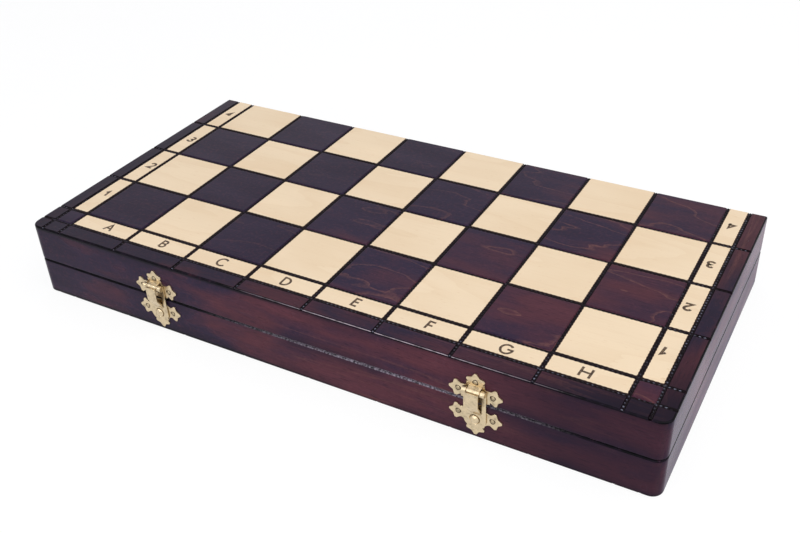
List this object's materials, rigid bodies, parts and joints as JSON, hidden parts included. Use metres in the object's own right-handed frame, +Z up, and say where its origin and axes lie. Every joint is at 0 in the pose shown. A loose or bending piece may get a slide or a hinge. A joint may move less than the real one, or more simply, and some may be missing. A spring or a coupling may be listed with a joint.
{
  "type": "folding chess set",
  "caption": "Folding wooden chess case with a grooved playing face on each half, fold hinges, two brass clasps at the front and the men stored inside.",
  "frame": {"origin": "middle of the underside of the closed case, halfway between its sides and between its front and its fold", "axes": "+X along the long front from file A to file H, +Y from the clasps to the fold hinges, +Z up out of the lid's playing face"},
  "size_m": [0.38, 0.1977, 0.046],
  "materials": {
    "stained_wood": "stained dark burgundy brown under satin varnish",
    "plywood": "bare plywood edges",
    "light_field": "natural pale veneer under satin varnish",
    "dark_field": "dark stained veneer under satin varnish",
    "lining_felt": "short felt",
    "pad_felt": "short felt",
    "clasp_brass": "thin bright brass plate",
    "hinge_brass": "drawn brass",
    "steel_pin": "drawn wire",
    "light_men": "turned, natural, varnished",
    "dark_men": "turned, stained dark, varnished"
  },
  "bodies": {
    "base": {"base_front_rail": "stained_wood", "base_back_rail": "stained_wood", "base_left_rail": "stained_wood", "base_right_rail": "stained_wood", "base_panel": "plywood", "base_light_fields": "light_field", "base_dark_fields": "dark_field", "base_lining": "lining_felt", "left_hinge_base_leaf": "hinge_brass", "right_hinge_base_leaf": "hinge_brass", "left_hinge_pin": "steel_pin", "right_hinge_pin": "steel_pin", "hinge_base_screws": "hinge_brass", "left_clasp_base_plate": "clasp_brass", "right_clasp_base_plate": "clasp_brass", "left_clasp_stud": "clasp_brass", "right_clasp_stud": "clasp_brass", "clasp_base_nails": "clasp_brass", "white_king": "light_men", "white_queen": "light_men", "white_bishops": "light_men", "white_knights": "light_men", "white_rooks": "light_men", "white_pawns": "light_men", "white_foot_pads": "pad_felt", "black_king": "dark_men", "black_queen": "dark_men", "black_bishops": "dark_men", "black_knights": "dark_men", "black_rooks": "dark_men", "black_pawns": "dark_men", "black_foot_pads": "pad_felt"},
    "lid": {"lid_front_rail": "stained_wood", "lid_back_rail": "stained_wood", "lid_left_rail": "stained_wood", "lid_right_rail": "stained_wood", "lid_panel": "plywood", "lid_light_fields": "light_field", "lid_dark_fields": "dark_field", "lid_lining": "lining_felt", "left_hinge_lid_leaf": "hinge_brass", "right_hinge_lid_leaf": "hinge_brass", "hinge_lid_screws": "hinge_brass", "left_clasp_lid_plate": "clasp_brass", "right_clasp_lid_plate": "clasp_brass", "left_clasp_pin": "clasp_brass", "right_clasp_pin": "clasp_brass", "clasp_lid_nails": "clasp_brass"},
    "left_hasp": {"left_clasp_hasp": "clasp_brass"},
    "right_hasp": {"right_clasp_hasp": "clasp_brass"}
  },
  "joints": [
    {"name": "lid_fold", "type": "hinge", "parent": "base", "child": "lid", "pos_m": [0, 0.09515, 0.023], "axis": [-1, 0, 0], "range_deg": [0, 180]},
    {"name": "left_hasp_swing", "type": "hinge", "parent": "lid", "child": "left_hasp", "pos_m": [-0.098, -0.09755, 0.0312], "axis": [-1, 0, 0], "range_deg": [0, 90]},
    {"name": "right_hasp_swing", "type": "hinge", "parent": "lid", "child": "right_hasp", "pos_m": [0.098, -0.09755, 0.0312], "axis": [-1, 0, 0], "range_deg": [0, 90]}
  ]
}
